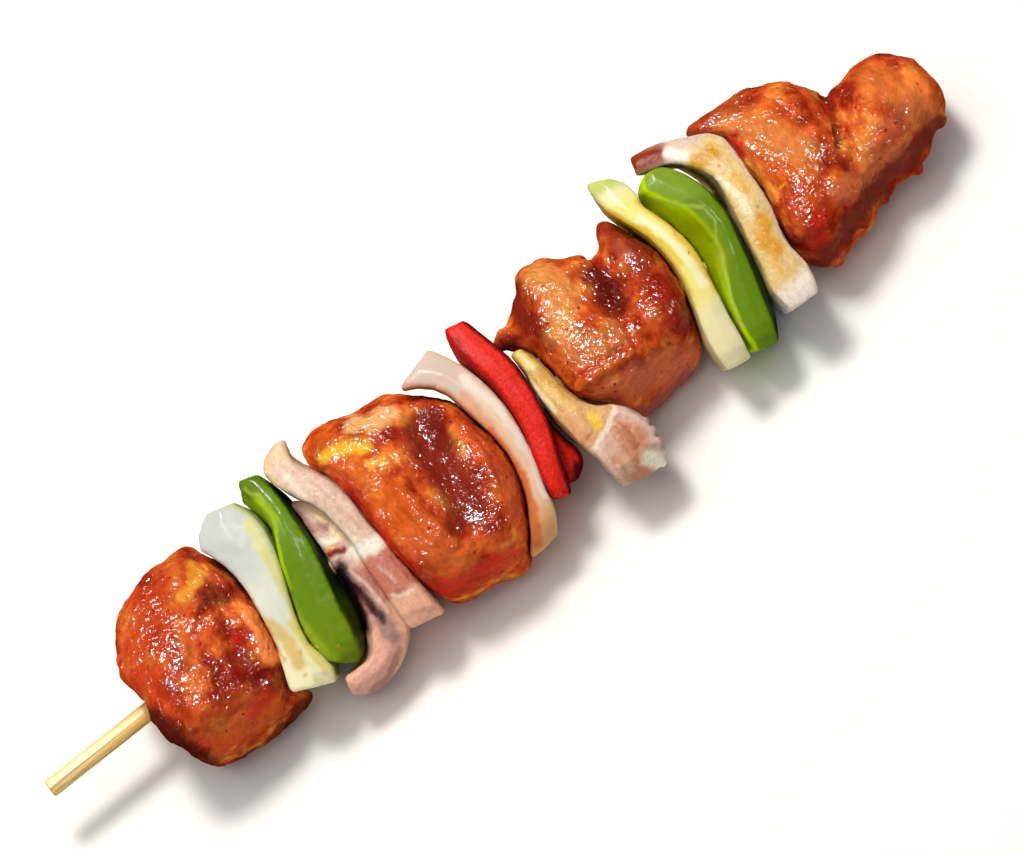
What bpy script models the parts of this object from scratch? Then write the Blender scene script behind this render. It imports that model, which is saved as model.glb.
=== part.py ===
"""A raw, marinated pork skewer with onion, sweet pepper and bacon, lying on a table.

Run with  blender --background --python part.py  or from Blender's text editor.
+X runs along the stick from its handle end to the last piece of meat, +Z is up, and the
origin is at the bottom centre of the whole skewer's box.

The sizes below are millimetres in "sight" coordinates. SIGHT is a line from above, leaning
over the near long edge. s runs along the skewer as seen down that line, v runs across it
(positive to the far side), and depth runs back up the line. The stick's axis is v = 0,
depth = 0. A shape that is given by s and v so keeps its outline when looked at from SIGHT.
"""

import math

import bmesh
import bpy
from mathutils import Vector, noise

MM = 0.001

# The line of sight, and the two directions square to it.
SIGHT = Vector((-0.10, -0.42, 0.90)).normalized()
ALONG = (Vector((1, 0, 0)) - SIGHT * SIGHT.x).normalized()
ACROSS = SIGHT.cross(ALONG)

# The bamboo stick.
AXIS_HEIGHT = 14.5  # over the table
STICK_DIAMETER = 3.5
STICK_LENGTH = 184.0
POINT_LENGTH = 9.0
STICK_EDGE = 0.35  # the broken edge of the blunt end
TIP_SHARE = 0.08  # what is left of the stick's width at its point
CLEARANCE = 0.35  # between the stick and what it pierces
BORE_LENGTHENING = 4.0  # of its point, for each mm of clearance, as the point is slender

# Between two pieces that lie against each other, on each side of the line where they meet.
HALF_GAP = 0.22
TABLE_GAP = 0.6  # under the slices, which don't quite reach the table

# How softly a slice's two long corners turn, how far its cut edge is rounded off at the
# sides, how far below that edge its faces stop sloping and how abruptly they do, and the
# least that a slice measures down the line of sight and half across it.
CORNER_BLEND = 2.5
EDGE_ROUND = 0.5
SLOPE_DEPTH = 9.0
SLOPE_POWER = 0.7
LEAST_HEIGHT = 1.6
LEAST_HALF = 0.4
ROW_CROWDING = 1.5  # above 1, a slice's rows of points crowd towards its cut edge
RIPPLE_SIZE = 5.0  # of the waves in a rasher's faces

# Pork is cut in cubes. A cube's sections follow a superellipse with this exponent, and its
# ends are rounded with the other.
SECTION_EXPONENT = 3.4
END_EXPONENT = 7.0
FLAT_SHARE = 0.06  # how far a section would reach below the table, as a share of its height
LUMP_SIZE = 9.0  # of the unevenness of its skin
KNOB_SIZE = 4.0  # of the finer unevenness on that
KNOB_SHARE = 0.45  # its height beside that of the lumps
END_FACING = 0.6  # how squarely a face looks along the skewer to count as an end


def smooth(points, x):
    """The value at x of a smooth curve through (x, value) points in rising order of x."""
    if x <= points[0][0]:
        return points[0][1]
    if x >= points[-1][0]:
        return points[-1][1]
    k = 1
    while points[k][0] < x:
        k += 1
    (x0, y0), (x1, y1) = points[k - 1], points[k]
    before = points[max(k - 2, 0)]
    after = points[min(k + 1, len(points) - 1)]
    slope0 = (y1 - before[1]) / (x1 - before[0])
    slope1 = (after[1] - y0) / (after[0] - x0)
    t = (x - x0) / (x1 - x0)
    h = x1 - x0
    a = (2 * t**3 - 3 * t**2 + 1) * y0 + (t**3 - 2 * t**2 + t) * h * slope0
    return a + (3 * t**2 - 2 * t**3) * y1 + (t**3 - t**2) * h * slope1


def column(stations, index):
    """(first value, value number index) of each row, for smooth()."""
    return [(row[0], row[index]) for row in stations]


def place(s, y, z):
    """The point with these y and z (z over the stick's axis) that is seen at s."""
    x = (s - ALONG.y * y - ALONG.z * z) / ALONG.x
    return Vector((x, y, z + AXIS_HEIGHT)) * MM


def grid_block(along, across, up):
    """A cube from -1 to 1, cut by evenly spaced planes into this many cells each way."""
    mesh = bmesh.new()
    bmesh.ops.create_cube(mesh, size=2)
    for axis, count in enumerate((along, across, up)):
        normal = Vector((0, 0, 0))
        normal[axis] = 1
        for k in range(1, count):
            geometry = mesh.verts[:] + mesh.edges[:] + mesh.faces[:]
            spot = normal * (2 * k / count - 1)
            bmesh.ops.bisect_plane(mesh, geom=geometry, plane_co=spot, plane_no=normal)
    return mesh


def on_superellipse(a, b, exponent):
    """Moves a point of the square from -1 to 1 so that square rings become superellipses."""
    ring = max(abs(a), abs(b))
    if ring < 1e-6:
        return 0.0, 0.0
    norm = (abs(a) ** exponent + abs(b) ** exponent) ** (1 / exponent)
    return a * ring / norm, b * ring / norm


def bump_at(s, v, bumps):
    """The height at (s, v) of a sum of smooth (s, v, reach along, reach across, height)."""
    total = 0.0
    for bump_s, bump_v, reach_s, reach_v, height in bumps:
        square = ((s - bump_s) / reach_s) ** 2 + ((v - bump_v) / reach_v) ** 2
        total += height * math.exp(-square)
    return total


def wobble(point, size, seed):
    """Even-handed noise in -1..1, with features of this size in mm."""
    offset = Vector((seed * 7.3, seed * 3.1, seed * 11.7))
    return noise.noise(point / (size * MM) + offset)


def helper_object(name, mesh):
    """Turns a bmesh into an object that only cuts others or is joined to them."""
    bmesh.ops.recalc_face_normals(mesh, faces=mesh.faces[:])
    data = bpy.data.meshes.new(name)
    mesh.to_mesh(data)
    mesh.free()
    helper = bpy.data.objects.new(name, data)
    cutters.objects.link(helper)
    helper.parent = centre
    helper.hide_render = True
    helper.display_type = "WIRE"
    return helper


def finish_object(name, mesh, material, drilled=True):
    """Turns a bmesh into a named object of the skewer, with the stick's hole through it."""
    bmesh.ops.recalc_face_normals(mesh, faces=mesh.faces[:])
    data = bpy.data.meshes.new(name)
    mesh.to_mesh(data)
    mesh.free()
    data.shade_smooth()
    data.set_sharp_from_angle(angle=math.radians(50))
    data.materials.append(material)
    piece = bpy.data.objects.new(name, data)
    skewer.objects.link(piece)
    piece.parent = centre
    if drilled:
        hole = piece.modifiers.new("stick_hole", "BOOLEAN")
        hole.operation = "DIFFERENCE"
        hole.solver = "EXACT"
        hole.object = stick_hole
    return piece


def pork(name, stations, start, end, bumps, cells, roughness, seed, met=0):
    """A lump of meat from sections at stations (s, near v, far v, base z, top z).

    start and end give the s of its two ends at each v. bumps are what stands out from
    it or dips in where it is seen from SIGHT, and roughness is that of its whole skin.
    met is 1 if only its far end has a neighbour, -1 if only its near end has one.
    """
    mesh = grid_block(*cells)
    for vertex in mesh.verts:
        u, a, b = vertex.co
        ring = max(abs(a), abs(b))
        corner = (abs(u) ** END_EXPONENT + ring**END_EXPONENT) ** (1 / END_EXPONENT)
        rounding = max(abs(u), ring) / corner if corner > 0 else 1.0
        share = (u * rounding + 1) / 2
        a, b = on_superellipse(a, b, SECTION_EXPONENT)
        a, b = a * rounding, b * rounding
        seen_v = 0.0
        for _ in range(5):
            first = smooth(start, seen_v) + HALF_GAP
            last = smooth(end, seen_v) - HALF_GAP
            s = first + share * (last - first)
            y, z = section_point(stations, s, a, b)
            seen_v = ACROSS.y * y + ACROSS.z * z
        vertex.co = place(s, y, z)
    mesh.normal_update()
    moved = {}
    for vertex in mesh.verts:
        seen = vertex.co / MM - Vector((0, 0, AXIS_HEIGHT))
        faces_sight = max(0.0, vertex.normal.dot(SIGHT)) ** 0.5
        relief = faces_sight * bump_at(seen.dot(ALONG), seen.dot(ACROSS), bumps)
        relief += roughness * wobble(vertex.co, LUMP_SIZE, seed)
        relief += KNOB_SHARE * roughness * wobble(vertex.co, KNOB_SIZE, seed + 1)
        # An end that lies against a neighbour has nothing standing out from it.
        faces_end = vertex.normal.dot(ALONG)
        far_end_met = faces_end > END_FACING and met >= 0
        near_end_met = faces_end < -END_FACING and met <= 0
        if far_end_met or near_end_met:
            relief = min(relief, 0)
        moved[vertex] = vertex.co + vertex.normal * relief * MM
    for vertex, spot in moved.items():
        spot.z = max(spot.z, section_base(stations, spot) * MM)
        vertex.co = spot
    finish_object(name, mesh, meat)


def section_point(stations, s, a, b):
    """(y, z over the axis) of the point (a, b) of the section at s."""
    near, far = smooth(column(stations, 1), s), smooth(column(stations, 2), s)
    base, top = smooth(column(stations, 3), s), smooth(column(stations, 4), s)
    half_height = (top - base) / 2 * (1 + FLAT_SHARE)
    middle_z = top - half_height - AXIS_HEIGHT
    # The half width that makes the section reach from near to far as it is seen.
    power = SECTION_EXPONENT / (SECTION_EXPONENT - 1)
    reach = ((far - near) / 2) ** power - (half_height * ACROSS.z) ** power
    half_width = max(reach, 0.01) ** (1 / power) / ACROSS.y
    middle_y = ((near + far) / 2 - ACROSS.z * middle_z) / ACROSS.y
    return middle_y + a * half_width, middle_z + b * half_height


def section_base(stations, spot):
    """The height of the flat underside below this point."""
    seen = spot / MM - Vector((0, 0, AXIS_HEIGHT))
    return max(0.0, smooth(column(stations, 3), seen.dot(ALONG)))


def slice_depths(v, near_y, far_y, base_z, top_z, face):
    """The lowest and highest depth inside a slice along the line of sight at v.

    Its cut edge is the plane at depth face, which looks back up the line of sight. It
    ends where the slice's top and near side begin.
    """
    to_top = (top_z - AXIS_HEIGHT - ACROSS.z * v) / SIGHT.z
    to_near = (ACROSS.y * v - near_y) / -SIGHT.y
    to_base = (base_z - AXIS_HEIGHT - ACROSS.z * v) / SIGHT.z
    to_far = (ACROSS.y * v - far_y) / -SIGHT.y
    # A soft minimum rounds the corners between the three.
    highest = -CORNER_BLEND * math.log(
        sum(math.exp(-depth / CORNER_BLEND) for depth in (to_top, to_near, face))
    )
    return max(to_base, to_far), highest


def strip_mesh(edges, span, cells, reach=99.0, ripple=0.0, seed=0):
    """A slice or rasher that stands on edge between two edges, as they are seen.

    edges are rows (s, v of the left edge, s, v of the right one, left slope, right slope)
    from its low v end up. The slopes are how far its two faces draw in before they reach
    its cut edge. span is (near y, far y, base z, top z, depth of the cut edge), and reach
    the most that it measures down the line of sight.
    """
    rows = [(k, *row) for k, row in enumerate(edges)]
    mesh = grid_block(*cells)
    for vertex in mesh.verts:
        u, a, b = vertex.co
        at = (u + 1) / 2 * (len(edges) - 1)
        left_s, left_v, right_s, right_v, left, right = (
            smooth(column(rows, k), at) for k in range(1, 7)
        )
        width = math.hypot(left_s - right_s, left_v - right_v)
        v = (left_v * (1 + a) + right_v * (1 - a)) / 2
        lowest, highest = slice_depths(v, *span)
        lowest = max(lowest, highest - reach)
        height = max(highest - lowest, LEAST_HEIGHT)
        down = ((1 - b) / 2) ** ROW_CROWDING
        depth = highest - height * down - EDGE_ROUND * abs(a) ** 3 * (1 - down)
        slope = 1 - min(down * height / SLOPE_DEPTH, 1) ** SLOPE_POWER
        # The left face is at a = 1, and the right one at a = -1.
        half = width / 2 - HALF_GAP - (left if a > 0 else right) * slope
        middle = (right - left) / 2 * slope if a == 0 else 0.0
        side = a * max(half, LEAST_HALF) + middle
        side += ripple * wobble(Vector((left_s, v, depth)) * MM, RIPPLE_SIZE, seed)
        seen_s = (left_s + right_s) / 2 + (left_s - right_s) / width * side
        seen_v = (left_v + right_v) / 2 + (left_v - right_v) / width * side
        y = ACROSS.y * seen_v + SIGHT.y * depth
        z = ACROSS.z * seen_v + SIGHT.z * depth
        vertex.co = place(seen_s, y, max(z, span[2] - AXIS_HEIGHT))
    return mesh


def strip(name, material, *, fused=None, **form):
    """A slice or rasher as an object. fused is the form of a second strip joined to it."""
    piece = finish_object(name, strip_mesh(**form), material)
    if fused:
        join = piece.modifiers.new("fold", "BOOLEAN")
        join.operation = "UNION"
        join.solver = "EXACT"
        join.object = helper_object(name + "_fold", strip_mesh(**fused))
        # The fold is joined first, so that the stick's hole goes through both.
        piece.modifiers.move(1, 0)


# %% A clean scene, with one collection for the skewer and one for what cuts it

for old in list(bpy.data.objects):
    bpy.data.objects.remove(old, do_unlink=True)

skewer = bpy.data.collections.new("pork_skewer")
cutters = bpy.data.collections.new("cutters")
bpy.context.scene.collection.children.link(skewer)
bpy.context.scene.collection.children.link(cutters)

centre = bpy.data.objects.new("skewer_centre", None)
skewer.objects.link(centre)


def plain_material(name, colour, roughness):
    """A Principled material of one linear colour."""
    made = bpy.data.materials.new(name)
    made.use_nodes = True
    shader = made.node_tree.nodes["Principled BSDF"]
    shader.inputs["Base Color"].default_value = (*colour, 1)
    shader.inputs["Roughness"].default_value = roughness
    shader.inputs["Metallic"].default_value = 0.0
    return made


meat = plain_material("marinated_pork", (0.42, 0.09, 0.03), 0.3)
bamboo = plain_material("bamboo", (0.72, 0.50, 0.22), 0.6)
onion_flesh = plain_material("onion", (0.80, 0.78, 0.62), 0.35)
green_flesh = plain_material("green_pepper", (0.13, 0.32, 0.02), 0.3)
red_flesh = plain_material("red_pepper", (0.72, 0.03, 0.02), 0.3)
rasher = plain_material("bacon", (0.68, 0.40, 0.33), 0.4)

# %% The stick, and the same stick grown by its clearance, which bores the holes


def stick_mesh(growth):
    """A round stick with a broken edge at its blunt end and a point at the other."""
    radius = (STICK_DIAMETER / 2 + growth) * MM
    straight = (STICK_LENGTH - POINT_LENGTH) * MM
    mesh = bmesh.new()
    bmesh.ops.create_cone(
        mesh, cap_ends=True, segments=20, radius1=radius, radius2=radius, depth=straight
    )
    blunt = [face for face in mesh.faces if face.normal.z < -0.9]
    bmesh.ops.bevel(mesh, geom=blunt[0].edges[:], offset=STICK_EDGE * MM, affect="EDGES")
    tip = [face for face in mesh.faces if face.normal.z > 0.9]
    grown = bmesh.ops.extrude_discrete_faces(mesh, faces=tip)
    corners = grown["faces"][0].verts[:]
    for corner in corners:
        corner.co.x *= TIP_SHARE
        corner.co.y *= TIP_SHARE
        corner.co.z += (POINT_LENGTH + BORE_LENGTHENING * growth) * MM
    # The stick is drawn upright about its middle: laid along X, its blunt end goes to x = 0.
    for vertex in mesh.verts:
        x, y, z = vertex.co
        vertex.co = Vector((z + straight / 2, y, -x + AXIS_HEIGHT * MM))
    return mesh


stick_hole = helper_object("stick_hole", stick_mesh(CLEARANCE))
finish_object("stick", stick_mesh(0.0), bamboo, drilled=False)

# %% The four pieces of pork

pork(
    "pork_1",
    stations=[
        # s, near v, far v, base z, top z
        (22.0, -17.0, 12.0, 0.6, 24.5),
        (24.5, -18.2, 13.8, 0.0, 26.0),
        (28.0, -17.4, 17.2, 0.0, 27.0),
        (33.0, -17.4, 18.4, 0.0, 27.5),
        (38.0, -17.9, 19.6, 0.0, 27.0),
        (43.0, -17.6, 20.2, 0.0, 26.5),
        (49.0, -16.9, 19.4, 0.0, 25.5),
    ],
    start=[
        (-17, 24.9),
        (-12, 24.4),
        (-6, 23.0),
        (-2, 23.0),
        (2, 24.6),
        (5, 23.0),
        (9.3, 22.1),
        (13, 24.8),
        (17, 27.0),
        (20, 31.0),
    ],
    end=[
        (-16, 49.2),
        (-13.5, 46.0),
        (-11.5, 45.7),
        (-8, 47.6),
        (-4, 48.0),
        (-1, 48.7),
        (5, 50.2),
        (12, 49.6),
        (17, 48.0),
        (20, 49.0),
    ],
    bumps=[
        (28.0, 12.5, 3.5, 2.5, -1.0),
        (41.0, 10.5, 3.0, 6.0, 1.0),
        (46.5, 6.0, 3.5, 4.0, -2.2),
        (43.5, 0.0, 3.0, 4.5, -1.8),
        (47.5, -4.0, 2.0, 5.0, 1.6),
        (35.0, 5.0, 2.2, 7.0, 0.9),
        (31.0, -3.0, 2.4, 6.0, 0.8),
        (30.5, -13.0, 2.5, 3.0, 0.8),
        (44.0, -9.0, 3.0, 3.0, -1.2),
        (36.5, -5.0, 1.8, 6.0, -0.9),
    ],
    cells=(20, 8, 8),
    roughness=0.7,
    seed=1,
    met=1,
)

pork(
    "pork_2",
    stations=[
        (73.0, -18.0, 21.2, 0.0, 25.0),
        (76.5, -19.8, 21.6, 0.0, 26.5),
        (81.0, -20.8, 20.8, 0.0, 27.0),
        (86.0, -21.2, 19.4, 0.0, 27.0),
        (91.0, -22.4, 18.4, 0.0, 26.5),
        (95.5, -22.0, 16.8, 0.0, 26.0),
        (99.5, -19.0, 15.6, 0.0, 25.5),
        (103.5, -14.0, 13.0, 1.0, 24.0),
    ],
    start=[
        (-19, 76.6),
        (-10, 76.0),
        (-2, 75.8),
        (3, 75.5),
        (8, 75.8),
        (12.4, 74.8),
        (17, 72.7),
        (22, 72.4),
    ],
    end=[
        (-21, 96.0),
        (-16.7, 99.0),
        (-10.5, 101.4),
        (-3.3, 102.8),
        (2.9, 102.3),
        (10.6, 101.0),
        (14.8, 98.4),
        (18, 95.2),
    ],
    bumps=[
        (95.5, 9.0, 4.5, 6.0, -2.0),
        (93.0, -1.0, 3.0, 8.0, -1.8),
        (90.0, -10.0, 3.0, 5.0, -1.2),
        (83.5, 0.0, 3.0, 9.0, 1.3),
        (81.5, 13.5, 4.5, 4.0, 1.2),
        (99.5, -5.0, 2.5, 8.0, 1.4),
        (79.0, 4.0, 1.8, 5.0, -0.7),
        (86.0, -15.0, 5.0, 3.0, 0.6),
        (91.0, 16.0, 4.0, 2.5, 0.8),
    ],
    cells=(21, 9, 8),
    roughness=0.6,
    seed=4,
)

pork(
    "pork_3",
    stations=[
        (112.0, -12.0, 15.6, 4.0, 23.0),
        (116.5, -13.0, 15.4, 1.0, 23.5),
        (119.5, -14.0, 14.0, 0.0, 25.0),
        (121.4, -14.6, 18.4, 0.0, 26.5),
        (124.0, -14.8, 20.8, 0.0, 27.5),
        (127.0, -14.8, 21.4, 0.0, 27.5),
        (130.5, -14.6, 20.4, 0.0, 27.0),
        (134.5, -14.0, 17.2, 0.0, 26.0),
        (138.5, -13.6, 14.8, 0.0, 25.0),
        (140.4, -13.6, 15.8, 0.0, 25.0),
        (143.0, -13.6, 19.6, 0.0, 25.5),
        (148.0, -13.4, 22.6, 0.0, 25.0),
    ],
    start=[
        (-15, 121.6),
        (-11.5, 122.6),
        (-9, 125.0),
        (-7, 123.4),
        (-5, 120.6),
        (0, 119.4),
        (5, 119.0),
        (9, 117.8),
        (10.6, 115.0),
        (12.6, 113.8),
        (13.6, 116.6),
        (15, 120.6),
        (18, 121.6),
        (22, 122.0),
    ],
    end=[
        (-14.9, 143.8),
        (-12.4, 143.9),
        (-7.5, 145.0),
        (-3.2, 146.5),
        (1.6, 147.5),
        (7.8, 147.9),
        (11.8, 147.0),
        (16, 145.7),
        (22, 144.6),
    ],
    bumps=[
        (128.0, 15.0, 4.0, 5.5, 1.2),
        (136.0, 6.5, 4.0, 3.5, -2.2),
        (138.6, 15.0, 1.6, 6.0, -1.4),
        (143.0, 12.0, 3.0, 5.0, 1.0),
        (129.0, 3.0, 4.0, 5.0, 1.0),
        (138.0, -1.0, 7.0, 2.5, 1.0),
        (119.0, 13.0, 1.6, 4.0, -1.4),
        (133.0, -10.0, 6.0, 4.0, -0.9),
        (125.5, 8.0, 2.0, 5.0, -0.6),
    ],
    cells=(24, 11, 8),
    roughness=0.6,
    seed=7,
)

pork(
    "pork_4",
    stations=[
        (162.0, -12.0, 22.6, 2.0, 24.0),
        (166.0, -13.6, 23.6, 0.0, 26.0),
        (170.0, -14.2, 22.8, 0.0, 26.5),
        (174.0, -14.4, 22.2, 0.0, 26.5),
        (178.0, -13.4, 21.8, 0.0, 26.0),
        (182.0, -13.0, 20.6, 0.0, 25.5),
        (186.5, -11.0, 18.4, 0.6, 24.5),
        (190.4, -9.8, 11.4, 1.6, 22.5),
        (193.5, -10.2, 11.6, 2.4, 22.5),
        (198.5, -9.4, 12.6, 3.0, 22.5),
        (203.5, -6.8, 12.2, 4.0, 21.5),
        (208.8, -6.4, 9.6, 5.5, 20.0),
    ],
    start=[
        (-14, 168.0),
        (-11, 168.4),
        (-7, 167.9),
        (-1.7, 169.2),
        (3.4, 170.4),
        (14, 171.0),
        (17, 171.1),
        (19.5, 168.9),
        (21.5, 164.6),
        (24, 163.6),
    ],
    end=[(-10, 206.4), (-6, 207.8), (0, 208.9), (5, 208.8), (9, 207.4), (14, 204.6)],
    bumps=[
        (190.6, 8.0, 1.6, 5.0, -2.2),
        (189.0, 2.0, 2.2, 4.0, -0.8),
        (178.0, 12.0, 6.0, 5.0, 1.0),
        (184.5, 9.0, 2.5, 7.0, 0.9),
        (176.0, -7.0, 6.0, 3.0, 1.0),
        (197.0, 5.0, 5.0, 4.0, 0.8),
        (205.5, -3.0, 1.8, 1.8, 0.9),
        (199.5, -7.0, 1.5, 2.0, 0.9),
        (189.0, -8.5, 1.5, 2.0, 0.9),
        (182.5, -11.0, 1.6, 2.2, 0.9),
        (172.0, 4.0, 3.0, 3.0, -0.6),
    ],
    cells=(30, 8, 8),
    roughness=0.55,
    seed=10,
    met=-1,
)

# %% Onion: three thick layers of the bulb, curved round it

strip(
    "onion_1",
    onion_flesh,
    edges=[
        # left s, v, right s, v, left slope, right slope
        (45.7, -12.9, 53.4, -16.6, 0.5, 0.2),
        (47.0, -9.1, 54.6, -13.7, 0.5, 0.2),
        (48.5, -5.6, 53.6, -9.1, 0.5, 0.2),
        (49.4, -1.7, 54.5, -4.3, 0.5, 0.2),
        (50.2, 3.2, 56.2, 0.4, 0.5, 0.2),
        (50.6, 7.6, 58.0, 5.0, 0.5, 0.2),
        (50.2, 11.7, 59.3, 9.0, 0.5, 0.2),
        (49.1, 15.3, 60.1, 13.2, 0.5, 0.2),
        (48.5, 18.1, 59.7, 16.9, 0.5, 0.3),
        (52.7, 21.3, 58.5, 19.8, 0.5, 0.3),
    ],
    span=(-19.5, 17.6, TABLE_GAP, 28.0, 11.0),
    cells=(13, 2, 5),
)

strip(
    "onion_2",
    onion_flesh,
    edges=[
        (94.7, -21.5, 101.3, -20.9, 0.3, 0.2),
        (97.2, -18.2, 103.1, -18.2, 0.3, 0.2),
        (99.6, -14.5, 104.1, -15.6, 0.4, 0.2),
        (101.5, -10.5, 104.8, -12.6, 0.4, 0.2),
        (102.7, -6.4, 106.1, -9.0, 0.4, 0.2),
        (103.3, -1.9, 107.1, -5.2, 0.4, 0.2),
        (102.8, 2.4, 107.9, -0.2, 0.4, 0.2),
        (102.0, 7.1, 108.2, 5.1, 0.4, 0.2),
        (101.2, 11.6, 107.4, 10.6, 0.4, 0.2),
        (98.8, 15.3, 106.0, 15.3, 0.4, 0.2),
        (95.2, 17.3, 103.7, 19.8, 0.3, 0.2),
    ],
    span=(-22.0, 16.6, TABLE_GAP, 27.5, 10.0),
    cells=(15, 2, 5),
)

strip(
    "onion_3",
    onion_flesh,
    edges=[
        (144.2, -16.6, 149.3, -17.5, 0.3, 0.2),
        (144.2, -12.3, 149.9, -13.6, 0.4, 0.2),
        (145.2, -8.0, 150.6, -9.5, 0.4, 0.2),
        (146.8, -3.2, 151.5, -5.1, 0.4, 0.2),
        (147.9, 1.2, 152.4, -0.9, 0.4, 0.2),
        (148.5, 6.1, 153.2, 3.1, 0.4, 0.2),
        (148.1, 11.1, 153.1, 7.1, 0.4, 0.2),
        (146.6, 16.0, 152.1, 11.7, 0.4, 0.2),
        (145.2, 19.8, 150.9, 16.0, 0.4, 0.2),
        (144.9, 23.5, 151.4, 20.5, 0.4, 0.2),
        (145.2, 25.8, 149.5, 23.7, 0.3, 0.2),
    ],
    span=(-20.0, 21.2, TABLE_GAP, 29.0, 11.0),
    cells=(15, 2, 5),
)

# %% Sweet pepper: two green slices and one of red, with the skin on their far side

strip(
    "green_pepper_1",
    green_flesh,
    edges=[
        (54.4, -12.6, 59.2, -17.1, 0.3, 1.0),
        (54.0, -9.9, 61.3, -14.4, 0.3, 1.4),
        (54.3, -6.0, 62.8, -10.9, 0.3, 1.6),
        (55.6, -1.9, 63.8, -6.1, 0.3, 1.6),
        (57.3, 2.7, 64.8, -1.1, 0.3, 1.4),
        (58.8, 7.1, 65.8, 4.4, 0.4, 1.0),
        (60.7, 12.1, 66.0, 9.7, 1.0, 0.6),
        (60.1, 16.0, 66.0, 14.3, 2.6, 0.4),
        (59.2, 20.0, 65.7, 18.1, 3.0, 0.3),
        (60.5, 22.7, 65.1, 21.1, 1.2, 0.3),
    ],
    span=(-18.5, 18.6, TABLE_GAP, 28.5, 10.0),
    cells=(15, 2, 5),
)

strip(
    "green_pepper_2",
    green_flesh,
    edges=[
        (150.4, -17.0, 155.6, -18.5, 0.3, 0.8),
        (150.2, -13.8, 157.5, -15.4, 0.8, 1.4),
        (150.6, -9.7, 159.0, -12.0, 1.2, 1.8),
        (151.6, -5.6, 160.3, -7.7, 1.8, 1.8),
        (152.4, -1.6, 161.4, -3.2, 3.0, 1.6),
        (153.3, 2.5, 162.1, 0.9, 4.4, 1.2),
        (153.3, 6.8, 162.7, 5.3, 5.6, 0.8),
        (152.4, 11.3, 162.7, 9.9, 4.8, 0.6),
        (151.4, 15.6, 161.4, 14.7, 3.0, 0.5),
        (151.6, 18.9, 159.4, 18.7, 1.4, 0.4),
        (154.4, 20.2, 157.6, 20.1, 0.4, 0.3),
    ],
    span=(-20.0, 16.4, TABLE_GAP, 29.0, 10.0),
    cells=(17, 2, 5),
)

strip(
    "red_pepper",
    red_flesh,
    edges=[
        (104.6, -15.3, 107.8, -16.6, 0.3, 0.3),
        (105.0, -12.2, 108.9, -13.8, 0.3, 0.3),
        (106.1, -8.3, 110.3, -10.0, 0.3, 0.3),
        (107.3, -4.4, 112.2, -5.5, 0.4, 0.3),
        (108.1, -0.7, 113.2, -1.9, 0.5, 0.3),
        (108.3, 3.3, 114.0, 2.6, 0.8, 0.3),
        (107.9, 7.5, 114.4, 7.2, 1.4, 0.3),
        (107.1, 11.8, 114.0, 11.7, 1.7, 0.3),
        (106.7, 16.3, 113.1, 15.8, 1.2, 0.3),
        (107.8, 20.9, 112.1, 19.9, 0.4, 0.3),
    ],
    span=(-19.0, 16.8, TABLE_GAP, 28.5, 11.0),
    cells=(15, 2, 5),
    fused={
        # The strip's other end, bent back beside it.
        "edges": [
            (108.5, -15.0, 111.1, -15.2, 0.6, 0.6),
            (109.0, -12.2, 112.9, -14.0, 0.6, 0.6),
            (109.9, -9.3, 113.8, -11.7, 0.5, 0.5),
            (110.9, -6.3, 112.9, -7.9, 0.5, 0.5),
            (111.8, -3.3, 112.8, -4.3, 0.4, 0.4),
        ],
        "span": (-15.0, 12.0, TABLE_GAP + 2, 20.0, 4.0),
        "cells": (7, 2, 3),
    },
)

# %% Bacon: one rasher folded in two, one with a hanging flap, one bent over its corner

strip(
    "bacon_1",
    rasher,
    edges=[
        (69.6, -17.4, 76.2, -19.0, 0.4, 0.3),
        (69.8, -12.7, 76.1, -15.4, 0.4, 0.3),
        (70.1, -7.4, 76.0, -10.0, 0.4, 0.3),
        (70.3, -2.5, 75.8, -4.9, 0.4, 0.3),
        (71.1, 2.0, 75.7, -0.3, 0.4, 0.3),
        (70.7, 5.6, 75.5, 4.1, 0.4, 0.3),
        (70.0, 10.1, 75.5, 8.8, 0.4, 0.3),
        (68.2, 13.6, 74.5, 13.4, 0.4, 0.3),
        (66.5, 17.3, 72.4, 17.2, 0.4, 0.3),
        (66.2, 21.9, 71.6, 20.0, 0.4, 0.3),
        (70.2, 23.7, 72.8, 23.1, 0.3, 0.3),
    ],
    span=(-21.5, 19.8, TABLE_GAP, 29.5, 12.0),
    cells=(16, 2, 5),
    ripple=0.35,
    seed=26,
    fused={
        # The half that is folded back along the handle side, and curls outwards below.
        "edges": [
            (55.3, -17.2, 54.0, -21.0, 0.4, 0.4),
            (57.1, -17.3, 56.0, -22.6, 0.4, 0.4),
            (59.2, -17.1, 59.1, -23.0, 0.5, 0.4),
            (60.9, -16.4, 62.8, -22.5, 0.8, 0.4),
            (62.0, -14.4, 66.2, -20.8, 1.4, 0.4),
            (63.4, -11.4, 69.1, -17.7, 2.0, 0.3),
            (64.0, -7.7, 71.5, -14.3, 2.2, 0.3),
            (64.6, -3.5, 71.6, -10.5, 1.8, 0.3),
            (65.4, 1.0, 71.7, -6.3, 0.8, 0.3),
            (66.0, 5.3, 71.8, -2.3, 0.4, 0.3),
            (66.4, 9.9, 72.4, 3.7, 0.4, 0.3),
            (66.3, 13.6, 70.5, 10.3, 0.4, 0.3),
        ],
        "span": (-22.5, 13.4, TABLE_GAP + 1.4, 25.0, 7.5),
        "cells": (14, 2, 4),
        "ripple": 0.35,
        "seed": 27,
    },
)

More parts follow.
